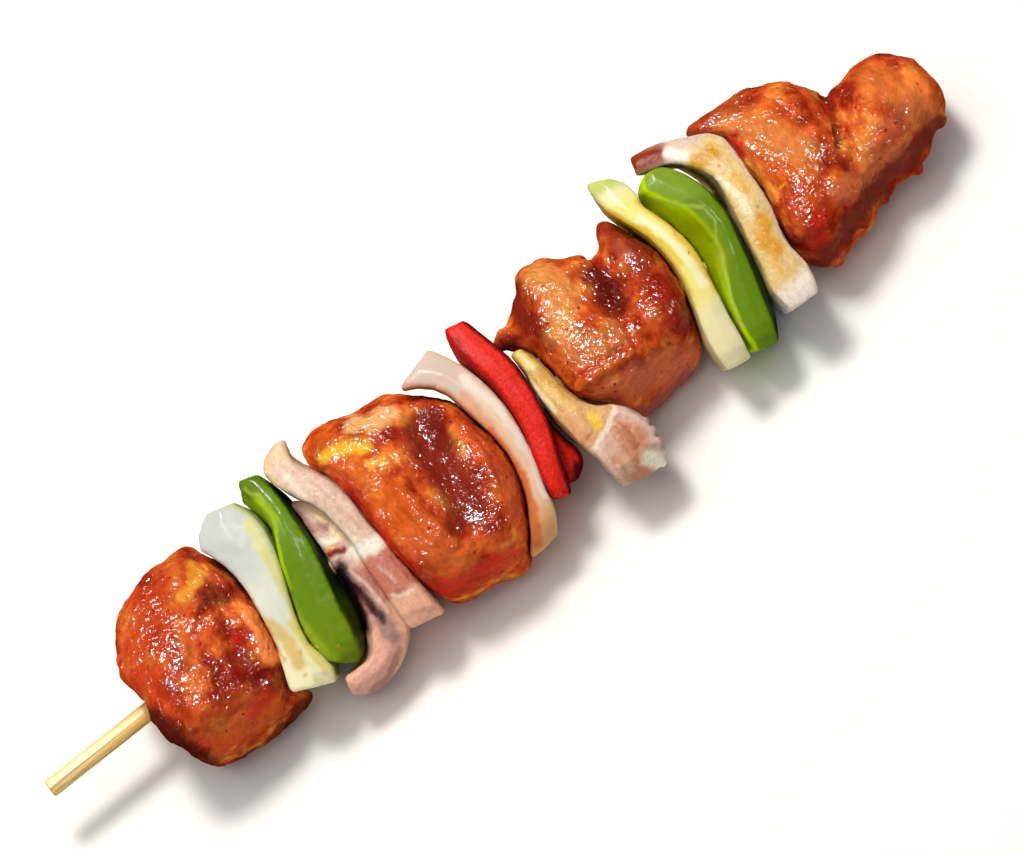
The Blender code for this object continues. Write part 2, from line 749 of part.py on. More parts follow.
strip(
    "bacon_2",
    rasher,
    edges=[
        (114.6, -10.6, 119.4, -9.8, 0.4, 0.9),
        (114.2, -7.4, 119.6, -6.4, 0.5, 0.8),
        (113.8, -4.7, 119.5, -3.9, 0.5, 0.6),
        (113.9, -1.3, 118.5, -0.5, 0.4, 0.4),
        (114.2, 2.0, 118.3, 3.1, 0.4, 0.4),
        (114.8, 5.9, 118.3, 6.3, 0.4, 0.4),
        (115.0, 9.5, 117.4, 9.3, 0.3, 0.3),
    ],
    span=(-24.0, 5.8, TABLE_GAP, 27.0, 14.0),
    reach=24.0,
    cells=(10, 3, 5),
    ripple=0.3,
    seed=28,
    fused=dict(
        edges=[
            (116.0, -21.4, 124.8, -22.9, 0.5, 0.5),
            (115.7, -18.3, 126.6, -18.8, 0.5, 0.5),
            (115.6, -14.9, 126.8, -14.3, 0.5, 0.5),
            (114.8, -12.4, 124.7, -9.6, 0.5, 0.5),
            (114.4, -8.6, 121.3, -7.2, 0.5, 0.5),
            (114.2, -4.7, 119.3, -3.9, 0.5, 0.4),
            (114.3, -1.8, 118.3, -1.0, 0.4, 0.4),
        ],
        span=(-24.0, 5.8, TABLE_GAP, 27.0, 13.6),
        reach=8.0,
        cells=(11, 3, 3),
        ripple=0.35,
        seed=29,
    ),
)

strip(
    "bacon_3",
    rasher,
    edges=[
        (159.9, -15.3, 166.5, -15.6, 0.4, 0.5),
        (159.4, -11.1, 168.0, -11.5, 0.4, 0.5),
        (160.5, -7.2, 167.6, -7.2, 0.4, 0.5),
        (161.5, -2.4, 168.0, -3.6, 0.4, 0.5),
        (162.3, 1.9, 169.0, -0.0, 0.4, 0.5),
        (163.5, 6.3, 169.8, 4.0, 0.4, 0.5),
        (164.2, 10.4, 170.1, 8.4, 0.4, 0.5),
        (163.6, 14.0, 170.6, 13.3, 0.4, 0.5),
        (161.8, 17.6, 170.2, 18.3, 0.4, 0.4),
        (159.2, 19.6, 165.1, 21.3, 0.3, 0.3),
        (156.5, 20.7, 161.2, 23.5, 0.3, 0.3),
        (154.1, 21.6, 155.0, 24.9, 0.3, 0.3),
    ],
    span=(-20.5, 19.4, TABLE_GAP, 29.5, 12.0),
    cells=(20, 2, 5),
    ripple=0.3,
    seed=29,
)

# %% The origin: bottom centre of the whole skewer


def whole_box():
    """The lowest and highest corner of everything in the skewer."""
    bpy.context.view_layer.update()
    graph = bpy.context.evaluated_depsgraph_get()
    corners = []
    for piece in skewer.objects:
        if piece.type == "MESH":
            seen = piece.evaluated_get(graph)
            corners += [seen.matrix_world @ vertex.co for vertex in seen.data.vertices]
    low = Vector([min(corner[axis] for corner in corners) for axis in range(3)])
    high = Vector([max(corner[axis] for corner in corners) for axis in range(3)])
    return low, high


low, high = whole_box()
centre.location = Vector((-(low.x + high.x) / 2, -(low.y + high.y) / 2, -low.z))
print("size in mm:", [round(edge / MM, 1) for edge in high - low])
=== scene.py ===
# %% [markdown]
# # A raw pork skewer, dressed
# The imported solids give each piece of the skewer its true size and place. They are made of
# large flat facets in one plain colour, so this lesson turns each of them into food: wet
# marinated pork, translucent onion, waxy sweet pepper and streaky bacon on a bamboo stick.
#
# Real food has no pattern that repeats. What the eye reads is light that goes a little way
# in, a wet film that breaks up the light of the window, and stains where the marinade has
# gathered. Those three things are built here, one after the other.

# %% The frame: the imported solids, which stay where they are

import math

import bpy
import numpy as np
from mathutils import Matrix, Vector, noise


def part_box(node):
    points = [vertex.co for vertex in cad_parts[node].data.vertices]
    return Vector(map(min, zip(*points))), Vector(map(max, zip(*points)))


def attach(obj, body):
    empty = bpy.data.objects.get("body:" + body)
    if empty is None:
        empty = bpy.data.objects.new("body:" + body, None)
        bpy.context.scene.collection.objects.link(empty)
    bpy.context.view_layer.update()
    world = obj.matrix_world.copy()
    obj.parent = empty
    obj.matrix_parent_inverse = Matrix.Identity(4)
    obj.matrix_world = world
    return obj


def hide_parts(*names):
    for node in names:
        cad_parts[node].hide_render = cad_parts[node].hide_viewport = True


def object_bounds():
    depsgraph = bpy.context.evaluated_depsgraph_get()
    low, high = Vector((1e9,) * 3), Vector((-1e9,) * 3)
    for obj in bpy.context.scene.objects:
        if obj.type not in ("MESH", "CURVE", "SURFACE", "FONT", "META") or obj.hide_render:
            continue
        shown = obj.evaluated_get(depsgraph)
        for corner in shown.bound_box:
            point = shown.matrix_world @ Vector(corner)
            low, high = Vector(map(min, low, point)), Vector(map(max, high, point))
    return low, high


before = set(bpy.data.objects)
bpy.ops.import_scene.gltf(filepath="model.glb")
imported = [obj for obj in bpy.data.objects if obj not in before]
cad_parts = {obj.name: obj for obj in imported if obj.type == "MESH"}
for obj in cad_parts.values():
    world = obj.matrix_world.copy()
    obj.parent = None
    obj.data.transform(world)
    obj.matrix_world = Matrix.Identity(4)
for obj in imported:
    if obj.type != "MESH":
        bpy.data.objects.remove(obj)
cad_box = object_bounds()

MM = 0.001
print("solids:", ", ".join(sorted(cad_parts)))

# %% [markdown]
# ## Two directions to paint by
# The skewer is looked at from above, over its near long edge. Places on it are easiest to
# name as they are seen from there: s millimetres along the stick from its blunt end, and v
# millimetres across it, positive to the far side. A brush that works down that line of
# sight can then put a stain where it belongs on a round lump of meat.

# %% Millimetres along and across the skewer, as it is seen

SIGHT = Vector((-0.10, -0.42, 0.90)).normalized()
ALONG = (Vector((1, 0, 0)) - SIGHT * SIGHT.x).normalized()
ACROSS = SIGHT.cross(ALONG)

stick_low, stick_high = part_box("stick")
stick_middle = (stick_low + stick_high) / 2
BLUNT_END = Vector((stick_low.x, stick_middle.y, stick_middle.z))
TABLE = cad_box[0].z


def seen_at(points):
    """(s, v) in mm of an array of points."""
    from_end = (points - np.array(BLUNT_END)) / MM
    return from_end @ np.array(ALONG), from_end @ np.array(ACROSS)


print("blunt end of the stick in mm:", [round(x / MM, 1) for x in BLUNT_END])

# %% [markdown]
# ## Camera
# A long lens keeps the near and the far end of the skewer the same size, as in a catalogue.
# The camera is rolled so that the skewer rises from the lower left to the upper right.

# %% The camera looks down the line of sight, rolled

LENS = 150.0  # mm, on a sensor 36 mm wide
SENSOR = 36.0
SEEN_WIDTH = 186.2  # mm of the scene across the picture
RISE = math.radians(38.4)
AIM_S, AIM_V = 106.95, -0.41  # the middle of the picture

picture_right = ALONG * math.cos(RISE) - ACROSS * math.sin(RISE)
picture_up = ALONG * math.sin(RISE) + ACROSS * math.cos(RISE)
aim = BLUNT_END + (ALONG * AIM_S + ACROSS * AIM_V) * MM
distance = SEEN_WIDTH * MM * LENS / SENSOR

turn = Matrix((picture_right, picture_up, SIGHT)).transposed()
bpy.ops.object.select_all(action="DESELECT")
bpy.ops.object.camera_add(location=aim + SIGHT * distance, rotation=turn.to_euler())
camera = bpy.context.active_object
camera.name = "camera"
camera.data.lens = LENS
camera.data.sensor_width = SENSOR
camera.data.clip_start, camera.data.clip_end = 0.05, 10.0
bpy.context.scene.camera = camera
print("camera is", round(distance, 3), "m away")

# %% [markdown]
# ## Light and floor
# Wet food needs one light that is small enough to sparkle in the marinade, high up on the
# far side, and a large soft one that fills the rest. A pale world keeps the shadows open.
# If the soft lights, the world and the floor were mirrored in the wet film too, they would
# lay a grey haze over every colour, so they are kept out of reflections: they light the
# food, and three small bright lights are all that the film mirrors. The floor is a plain sheet.

# %% A function that turns a hex colour into linear light


def srgb(code):
    """Linear red, green, blue and alpha 1 of a hex colour such as #C0FFEE."""
    levels = [int(code[k : k + 2], 16) / 255 for k in (1, 3, 5)]
    bent = [x / 12.92 if x <= 0.04045 else ((x + 0.055) / 1.055) ** 2.4 for x in levels]
    return (*bent, 1.0)


print("the grey #808080 is", round(srgb("#808080")[0], 3), "in linear light")

# %% A function that hangs a round light

LIGHT_DISTANCE = 0.8  # m from the skewer


def hang_light(name, right, up, back, size, power, colour):
    """A light of this size in m and power in W, in that direction of the picture."""
    direction = (picture_right * right + picture_up * up + SIGHT * back).normalized()
    facing = direction.to_track_quat("Z", "Y").to_euler()
    bpy.ops.object.select_all(action="DESELECT")
    bpy.ops.object.light_add(
        type="AREA", location=aim + direction * LIGHT_DISTANCE, rotation=facing
    )
    light = bpy.context.active_object
    light.name = name
    light.data.shape = "DISK"
    light.data.size = size
    light.data.energy = power
    light.data.color = srgb(colour)[:3]
    print(name, "is", size, "m across and gives", power, "W")
    return light


# %% Two soft lights that light the food, and three small ones that its wet film mirrors

for name, right, up, back, size, power in (
    ("window", -0.36, 0.58, 0.72, 0.22, 4.6),
    ("softbox", -0.45, 0.30, 0.80, 0.8, 2.6),
):
    light = hang_light(name, right, up, back, size, power, "#FFFBF2")
    light.visible_glossy = False

for name, right, up, back, size, power in (
    ("window_glint", -0.36, 0.58, 0.72, 0.05, 18.0),
    ("lamp_glint", 0.15, 0.40, 0.90, 0.04, 4.0),
    ("door_glint", -0.80, 0.25, 0.55, 0.04, 3.0),
):
    light = hang_light(name, right, up, back, size, power, "#FFFFFF")
    light.visible_diffuse = False

# %% The pale world

WORLD_STRENGTH = 0.28

world = bpy.data.worlds.new("pale_room")
world.use_nodes = True
backdrop = world.node_tree.nodes["Background"]
backdrop.inputs["Color"].default_value = srgb("#FFFFFF")
backdrop.inputs["Strength"].default_value = WORLD_STRENGTH
world.cycles_visibility.glossy = False
bpy.context.scene.world = world
bpy.context.scene.view_settings.view_transform = "Standard"
print("the world gives", WORLD_STRENGTH, "of white from every side")

# %% The floor: a sheet of matte paper, which shows only soft shadows

FLOOR_WHITE = "#F4F4F4"
FLOOR_SIZE = 6.0  # m
FLOOR_GAP = 0.0003  # m under the food, so that they never share a plane

bpy.ops.object.select_all(action="DESELECT")
bpy.ops.mesh.primitive_plane_add(size=FLOOR_SIZE, location=(0, 0, TABLE - FLOOR_GAP))
floor = bpy.context.active_object
floor.name = "floor"
floor.visible_glossy = False
paper = bpy.data.materials.new("matte_paper")
paper.use_nodes = True
sheet = paper.node_tree.nodes["Principled BSDF"]
sheet.inputs["Base Color"].default_value = srgb(FLOOR_WHITE)
sheet.inputs["Roughness"].default_value = 0.9
floor.data.materials.append(paper)
print("the floor lies", round((TABLE - floor.location.z) / MM, 2), "mm under the food")

# %% [markdown]
# ## From facets to a skin
# Each piece starts as a copy of its solid. The copy's loose triangles are merged, a Remesh
# gives it an even net of small squares, and a Smooth takes the facets out of that net. A
# little swelling then closes the narrow gap that the solids keep between each other.

# %% A function that applies one modifier


def apply_modifier(piece, kind, **settings):
    """Adds a modifier with these settings to the piece and applies it."""
    bpy.ops.object.select_all(action="DESELECT")
    piece.select_set(True)
    bpy.context.view_layer.objects.active = piece
    bpy.ops.object.modifier_add(type=kind)
    modifier = piece.modifiers[-1]
    for setting, value in settings.items():
        setattr(modifier, setting, value)
    bpy.ops.object.modifier_apply(modifier=modifier.name)


# %% A function that makes the skin of a solid

MERGE_WITHIN = 0.002 * MM
HALF_WAY = 0.5  # a point of the skin moves half way to the middle of its neighbours


def skin_over(node, name, net, passes, swell):
    """A smooth copy of a solid: net and swell in mm, passes of smoothing."""
    piece = bpy.data.objects.new(name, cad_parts[node].data.copy())
    bpy.context.scene.collection.objects.link(piece)
    piece.data.materials.clear()
    bpy.ops.object.select_all(action="DESELECT")
    piece.select_set(True)
    bpy.context.view_layer.objects.active = piece
    bpy.ops.object.mode_set(mode="EDIT")
    bpy.ops.mesh.select_all(action="SELECT")
    bpy.ops.mesh.remove_doubles(threshold=MERGE_WITHIN)
    bpy.ops.mesh.normals_make_consistent(inside=False)
    bpy.ops.object.mode_set(mode="OBJECT")
    apply_modifier(piece, "REMESH", mode="VOXEL", voxel_size=net * MM)
    apply_modifier(piece, "SMOOTH", factor=HALF_WAY, iterations=passes)
    apply_modifier(piece, "DISPLACE", strength=swell * MM, mid_level=0.0)
    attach(piece, "root")
    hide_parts(node)
    return piece


# %% [markdown]
# ## Sculpting and painting by brush
# A brush stroke is a path of places (s, v) and a reach in millimetres. The same stroke can
# raise or dent the skin, or lay a colour on it. Its edge wanders, because nothing on food
# has a clean outline. Strokes act on what faces the line of sight and fade out round the
# sides.

# %% Reading a skin: where its points are, and how far a stroke's edge wanders there

WAVE = 2.6 * MM
RIPPLE = 0.9 * MM
WANDER_SEED = 7

noise.seed_set(WANDER_SEED)  # without a seed, edges would wander anew in each run


def read_skin(piece, wander=1.0):
    """The points, normals and seen places of a piece, with their wandering."""
    mesh = piece.data
    points = np.empty(len(mesh.vertices) * 3, np.float32)
    normals = np.empty(len(mesh.vertices) * 3, np.float32)
    mesh.vertices.foreach_get("co", points)
    mesh.vertices.foreach_get("normal", normals)
    points = points.reshape(-1, 3).astype(float)
    normals = normals.reshape(-1, 3).astype(float)
    s, v = seen_at(points)
    wave = np.array([noise.noise_vector(Vector(p) / WAVE) for p in points])
    ripple = np.array([noise.noise_vector(Vector(p) / RIPPLE) for p in points])
    drift = wander * (wave + 0.5 * ripple)
    return {
        "piece": piece,
        "points": points,
        "normals": normals,
        "s": s,
        "v": v,
        "drift_s": drift[:, 0],
        "drift_v": drift[:, 1],
        "facing": normals @ np.array(SIGHT),
        "colour": np.zeros((len(points), 3)),
        "cover": np.zeros(len(points)),
        "wet": np.ones(len(points)),
    }


# %% How strongly a stroke acts at each point

CORE = 0.35  # of its reach, where a stroke acts fully
RIM = 1.25  # of its reach, where it ends
TURNED_AWAY = (-0.45, -0.05)  # of "facing": a stroke is gone at the first, full at the second


def fade(x, low, high):
    """0 below low, 1 above high, and smooth between them."""
    t = np.clip((x - low) / (high - low), 0, 1)
    return t * t * (3 - 2 * t)


def stroke(skin, path, reach, wander=1.0):
    """0 to 1: how strongly a brush drawn along path acts at each point."""
    s = skin["s"] + wander * skin["drift_s"]
    v = skin["v"] + wander * skin["drift_v"]
    nearest = np.full(len(s), 1e9)
    for (s0, v0), (s1, v1) in zip(path, path[1:] or path):
        run, rise = s1 - s0, v1 - v0
        length = max(run * run + rise * rise, 1e-9)
        t = np.clip(((s - s0) * run + (v - v0) * rise) / length, 0, 1)
        gap = np.hypot(s - s0 - t * run, v - v0 - t * rise)
        nearest = np.minimum(nearest, gap)
    strength = 1 - fade(nearest, CORE * reach, RIM * reach)
    return strength * fade(skin["facing"], *TURNED_AWAY)


# %% Three things that a stroke can do: sculpt, paint, and dry or wet the skin


def sculpt(skin, strokes):
    """Raises or dents the skin: strokes of (height in mm, reach, path)."""
    lift = np.zeros(len(skin["s"]))
    for height, reach, *path in strokes:
        lift += height * stroke(skin, path, reach, wander=0.5)
    skin["points"] += skin["normals"] * lift[:, None] * MM
    mesh = skin["piece"].data
    skin["points"][:, 2] = np.maximum(skin["points"][:, 2], TABLE)
    mesh.vertices.foreach_set("co", skin["points"].astype(np.float32).ravel())
    mesh.update()


def lay_colour(skin, code, share):
    """Blends a hex colour over what is painted, share by share."""
    colour = np.array(srgb(code)[:3])
    cover = share + skin["cover"] * (1 - share)
    old = skin["colour"] * (skin["cover"] * (1 - share))[:, None]
    mixed = (old + colour * share[:, None]) / np.maximum(cover, 1e-6)[:, None]
    skin["colour"] = np.where(cover[:, None] > 1e-6, mixed, skin["colour"])
    skin["cover"] = cover


def paint(skin, strokes):
    """Lays stains, painted shade and painted highlights on the skin: strokes of (hex colour,
    strength, reach, path).
    """
    for code, strength, reach, *path in strokes:
        lay_colour(skin, code, strength * stroke(skin, path, reach))


def dry(skin, strokes):
    """Takes the wet film off: strokes of (strength, reach, path)."""
    for strength, reach, *path in strokes:
        skin["wet"] *= 1 - strength * stroke(skin, path, reach)


def keep_paint(skin):
    """Stores the paint and the wetness in the mesh, where the materials read them."""
    mesh = skin["piece"].data
    paint_layer = mesh.attributes.new("paint", "FLOAT_COLOR", "POINT")
    rgba = np.column_stack([skin["colour"], skin["cover"]]).astype(np.float32)
    paint_layer.data.foreach_set("color", rgba.ravel())
    wet_layer = mesh.attributes.new("wet", "FLOAT", "POINT")
    wet_layer.data.foreach_set("value", skin["wet"].astype(np.float32))
    mesh.shade_smooth()
    mesh.calc_loop_triangles()
    print(skin["piece"].name, len(mesh.loop_triangles), "triangles")


# %% [markdown]
# ## Materials: one function that adds a node
# Every material below is a small network. `add_node` makes a node, sets its own settings,
# and fills its inputs: a socket from another node is linked, anything else is a value.

# %% The function, the start of a material, and the scale of a pattern


def add_node(tree, kind, inputs=None, **settings):
    """A node of this kind. An input given as a socket is linked."""
    made = tree.nodes.new(kind)
    for setting, value in settings.items():
        setattr(made, setting, value)
    for socket, value in (inputs or {}).items():
        if isinstance(value, bpy.types.NodeSocket):
            tree.links.new(value, made.inputs[socket])
        else:
            made.inputs[socket].default_value = value
    return made


def start_material(name):
    """An empty material's tree."""
    made = bpy.data.materials.new(name)
    made.use_nodes = True
    made.node_tree.nodes.clear()
    return made


def per_mm(size):
    """The scale of a texture whose features are this many mm across."""
    return 1 / (size * MM)


print("a pattern of 1 mm has a scale of", round(per_mm(1.0)))

# %% [markdown]
# ## Marinated pork
# Raw loin in a red pepper marinade. The meat is pale pink under a film of oil that is
# coloured orange-red by paprika: thin on the ridges, where it is orange, and deep in the
# hollows, where it is nearly brown. The film is wet, so it has small broken highlights.
# Colour changes over about 6 mm with the lumps of the meat, over 1 mm with its fibre, and
# over half a millimetre with grains of spice.

# %% The colour of the marinade, and the paint over it

pork_material = start_material("marinated_pork_loin")
tree = pork_material.node_tree
where = add_node(tree, "ShaderNodeTexCoord").outputs["Object"]

lumps = add_node(
    tree,
    "ShaderNodeTexNoise",
    {"Vector": where, "Scale": per_mm(6.0), "Detail": 3.0, "Roughness": 0.6},
)
film = add_node(tree, "ShaderNodeValToRGB", {"Fac": lumps.outputs["Fac"]})
film.color_ramp.elements[0].position = 0.37
film.color_ramp.elements[0].color = srgb("#8E240E")
film.color_ramp.elements[1].position = 0.66
film.color_ramp.elements[1].color = srgb("#EA923A")
for place, colour in ((0.47, "#BE441A"), (0.57, "#D8642A")):
    film.color_ramp.elements.new(place).color = srgb(colour)
painted = add_node(tree, "ShaderNodeAttribute", attribute_name="paint")
stained = add_node(
    tree,
    "ShaderNodeMix",
    {
        "Factor": painted.outputs["Alpha"],
        "A": film.outputs["Color"],
        "B": painted.outputs["Color"],
    },
    data_type="RGBA",
)
print("the marinade has", len(film.color_ramp.elements), "colours")

# %% [markdown]
# Muscle fibre lies in bundles about a millimetre wide and three times as long. They show
# as darker and lighter streaks in whatever colour lies over them. Grains of ground
# pepper, about half a millimetre across, stick to the film as small dark red dots.

# %% Streaks of fibre, and grains of spice

fibre_space = add_node(
    tree, "ShaderNodeMapping", {"Vector": where, "Scale": (1.0, 0.35, 1.0)}
)
fibre = add_node(
    tree,
    "ShaderNodeTexNoise",
    {
        "Vector": fibre_space.outputs["Vector"],
        "Scale": per_mm(1.0),
        "Detail": 3.0,
        "Roughness": 0.6,
        "Distortion": 0.6,
    },
)
streaks = add_node(
    tree,
    "ShaderNodeMapRange",
    {
        "Value": fibre.outputs["Fac"],
        "From Min": 0.32,
        "From Max": 0.68,
        "To Min": 0.86,
        "To Max": 1.12,
    },
)
streaked = add_node(
    tree,
    "ShaderNodeVectorMath",
    {0: stained.outputs["Result"], "Scale": streaks.outputs["Result"]},
    operation="SCALE",
)
spice_spots = add_node(
    tree, "ShaderNodeTexVoronoi", {"Vector": where, "Scale": per_mm(2.6), "Randomness": 1.0}
)
spice = add_node(
    tree,
    "ShaderNodeMapRange",
    {
        "Value": spice_spots.outputs["Distance"],
        "From Min": 0.07,
        "From Max": 0.16,
        "To Min": 0.85,
        "To Max": 0.0,
    },
)
seasoned = add_node(
    tree,
    "ShaderNodeMix",
    {
        "Factor": spice.outputs["Result"],
        "A": streaked.outputs["Vector"],
        "B": srgb("#94100A"),
    },
    data_type="RGBA",
)
print("colour of the pork:", len(tree.nodes), "nodes")

# %% [markdown]
# The meat itself mirrors nothing. What shines is the film over it, where it is wet. It
# stands in beads of about a millimetre and a half, and gathers in pools of about 5 mm, so
# the highlights come in clusters with duller meat between them.

# %% The wet film: its beads, and the pools that it gathers in

wet = add_node(tree, "ShaderNodeAttribute", attribute_name="wet")
beads = add_node(
    tree,
    "ShaderNodeTexNoise",
    {"Vector": where, "Scale": per_mm(1.45), "Detail": 1.3, "Roughness": 0.5, "Distortion": 0.8},
)
meat_bump = add_node(
    tree,
    "ShaderNodeBump",
    {"Height": beads.outputs["Fac"], "Strength": 0.6, "Distance": 0.40 * MM},
)
film_bump = add_node(
    tree,
    "ShaderNodeBump",
    {"Height": beads.outputs["Fac"], "Strength": 1.0, "Distance": 0.95 * MM},
)
pools = add_node(
    tree, "ShaderNodeTexNoise", {"Vector": where, "Scale": per_mm(5.0), "Detail": 2.0}
)
pooled = add_node(
    tree,
    "ShaderNodeMapRange",
    {
        "Value": pools.outputs["Fac"],
        "From Min": 0.42,
        "From Max": 0.54,
        "To Min": 0.04,
        "To Max": 1.0,
    },
)
film_weight = add_node(
    tree,
    "ShaderNodeMath",
    {0: wet.outputs["Fac"], 1: pooled.outputs["Result"]},
    operation="MULTIPLY",
)
print("with its film:", len(tree.nodes), "nodes")

# %% [markdown]
# Raw meat is mostly water with a little fat, so light bends in it a little more than in
# water, and red goes in furthest. The film is oil, which bends light more. It is not quite
# smooth, as it is full of ground spice, so its highlights are small but have soft edges.

# %% The shader of the pork

flesh = add_node(
    tree,
    "ShaderNodeBsdfPrincipled",
    {
        "Base Color": seasoned.outputs["Result"],
        "Roughness": 0.5,
        "Normal": meat_bump.outputs["Normal"],
        "IOR": 1.40,
        "Specular IOR Level": 0.0,
        "Subsurface Weight": 0.12,
        "Subsurface Radius": (1.0, 0.25, 0.08),
        "Subsurface Scale": 1.0 * MM,
        "Coat Weight": film_weight.outputs["Value"],
        "Coat Roughness": 0.17,
        "Coat IOR": 1.5,
        "Coat Normal": film_bump.outputs["Normal"],
    },
)
add_node(tree, "ShaderNodeOutputMaterial", {"Surface": flesh.outputs["BSDF"]})
print(pork_material.name, "has", len(tree.nodes), "nodes")

# %% [markdown]
# ## The four pieces of pork
# Each piece has its own folds, its own stains and its own painted shade and light, so each gets its
# own strokes.

# %% The colours that recur in its stains and painted shade, from thin oil to dark hollows and bare meat

OIL = "#E9A436"
ORANGE = "#D2601E"
RED = "#C8281A"
BRICK = "#9C3A1C"
MAROON = "#6A1C12"
MAHOGANY = "#4A120E"
DEEP_RED = "#7E1A12"
MATTE_MEAT = "#AC5A40"
SHADE_MEAT = "#9C5650"

# %% A function for a piece of pork

PORK_NET = 0.36  # mm
PORK_RELIEF = (("lumps", 7.0, 1.3), ("knobs", 2.2, 0.55))  # name, mm across, mm high


def make_pork(node, folds, stains_and_painted_light, dry_places):
    """One piece of pork, folded by sculpting, and stained and given painted shade and light by
    painting.
    """
    piece = skin_over(node, node + "_meat", PORK_NET, passes=6, swell=0.30)
    for kind, size, height in PORK_RELIEF:
        clouds = bpy.data.textures.new(node + "_" + kind, "CLOUDS")
        clouds.noise_scale = size * MM
        clouds.noise_depth = 2
        apply_modifier(
            piece, "DISPLACE", texture=clouds, texture_coords="LOCAL",
            strength=height * MM, mid_level=0.5,
        )
    skin = read_skin(piece)
    sculpt(skin, folds)
    skin = read_skin(piece)
    paint(skin, stains_and_painted_light)
    dry(skin, dry_places)
    keep_paint(skin)
    piece.data.materials.append(pork_material)


# %% Pork 1, nearest the handle

make_pork(
    "pork_1",
    folds=[
        (-0.35, 1.4, (34.5, 4.5), (31.0, 1.0), (29.3, -3.5), (28.2, -8.0)),
        (-0.3, 1.2, (28.4, 7.0), (27.0, 3.2)),
        (-0.35, 1.2, (44.0, 9.0), (38.5, 5.4), (35.0, 1.0)),
        (0.8, 1.4, (48.3, 2.8), (48.0, -2.2), (47.4, -7.0)),
        (-1.0, 2.4, (43.0, -1.0), (43.2, -7.0)),
    ],
    stains_and_painted_light=[
        ("#B53717", 0.7, 5.0, (42.0, 15.5), (33.0, 13.0), (29.0, 6.0)),
        ("#C03A1A", 0.6, 3.0, (26.5, 5.0), (26.0, -1.0)),
        (OIL, 0.6, 1.5, (46.4, 13.7), (43.8, 12.7), (40.9, 12.3)),
        (OIL, 0.5, 1.2, (45.5, 16.0), (44.0, 13.0)),
        (MAHOGANY, 0.75, 2.4, (44.5, 9.2), (47.0, 7.6)),
        (RED, 0.8, 1.5, (44.5, 0.4), (43.2, -1.2)),
        # Painted shade in the dent of the fold.
        (DEEP_RED, 0.9, 3.2, (42.0, -2.5), (42.6, -8.5)),
        ("#F68A48", 0.95, 1.5, (48.6, 3.5), (48.2, -2.0), (47.2, -6.5)),
        ("#D8402A", 0.75, 3.0, (41.0, -11.6), (34.0, -13.0), (28.6, -12.3)),
        (BRICK, 0.6, 3.0, (38.0, -8.0), (33.0, -8.0)),
        (ORANGE, 0.6, 1.8, (30.0, -12.0), (36.6, -14.0), (42.5, -14.0)),
        # Painted shade along the crease of the first fold.
        (BRICK, 0.4, 1.2, (33.5, 4.5), (31.0, 1.0), (29.3, -3.5), (28.2, -8.0)),
        ("#E87634", 0.6, 1.8, (37.5, 8.0), (36.2, 4.0), (35.0, -2.0)),
        # Painted shade on the end face towards the handle and along the lower rim, which turn from
        # the light.
        (MAHOGANY, 0.95, 3.3, (23.6, -2.0), (24.2, -8.0), (25.0, -14.0)),
        (MAHOGANY, 0.8, 1.4, (26.0, -17.2), (35.0, -18.4), (47.0, -16.6)),
    ],
    dry_places=[
        (0.8, 3.0, (43.5, 9.5), (47.5, 8.0)),
        (0.9, 3.0, (22.8, -2.5), (24.6, -14.0)),
        (0.65, 4.5, (28.5, 14.0), (26.5, 8.0), (26.0, 2.0)),
    ],
)

# %% Pork 2, with its deep glossy valley

make_pork(
    "pork_2",
    folds=[
        (-0.5, 3.4, (94.5, 9.0), (92.5, 0.5), (90.5, -8.0)),
        (0.7, 1.8, (84.5, 8.0), (84.0, -2.0), (85.0, -10.0)),
    ],
    stains_and_painted_light=[
        (ORANGE, 0.6, 4.0, (78.0, 17.0), (81.0, 8.0), (82.0, -4.0)),
        ("#E06A32", 0.7, 4.0, (82.0, -6.0), (84.0, -14.0)),
        ("#F0B42C", 0.95, 1.7, (76.6, 16.5), (80.8, 15.3), (83.4, 13.6)),
        (OIL, 0.9, 1.0, (82.6, 10.4), (84.4, 8.6)),
        # A painted highlight on the top edge.
        ("#EFB878", 0.8, 1.9, (84.3, 18.0), (87.5, 15.6), (91.0, 15.4)),
        (RED, 0.7, 1.4, (76.3, 11.3), (76.5, 1.2), (76.9, -9.6)),
        ("#80241A", 0.92, 5.2, (93.5, 9.0), (92.6, 0.3), (91.8, -7.0)),
        ("#661810", 0.6, 2.6, (96.5, 11.0), (95.2, 5.0)),
        ("#CC522A", 0.75, 2.6, (100.5, 5.0), (100.6, -6.0), (98.6, -14.0)),
        (ORANGE, 0.8, 1.0, (102.8, -2.0), (102.4, -6.4)),
        ("#D83A26", 0.8, 2.8, (77.6, -14.8), (84.0, -18.0), (92.0, -18.8)),
    ],
    dry_places=[
        (0.6, 2.4, (85.5, 3.0), (86.0, -8.0)),
        (0.85, 2.6, (96.6, 11.0), (95.8, 7.5), (94.8, 4.0)),
    ],
)

# %% Pork 3, lumpy, with a hollow in the middle and a cut side

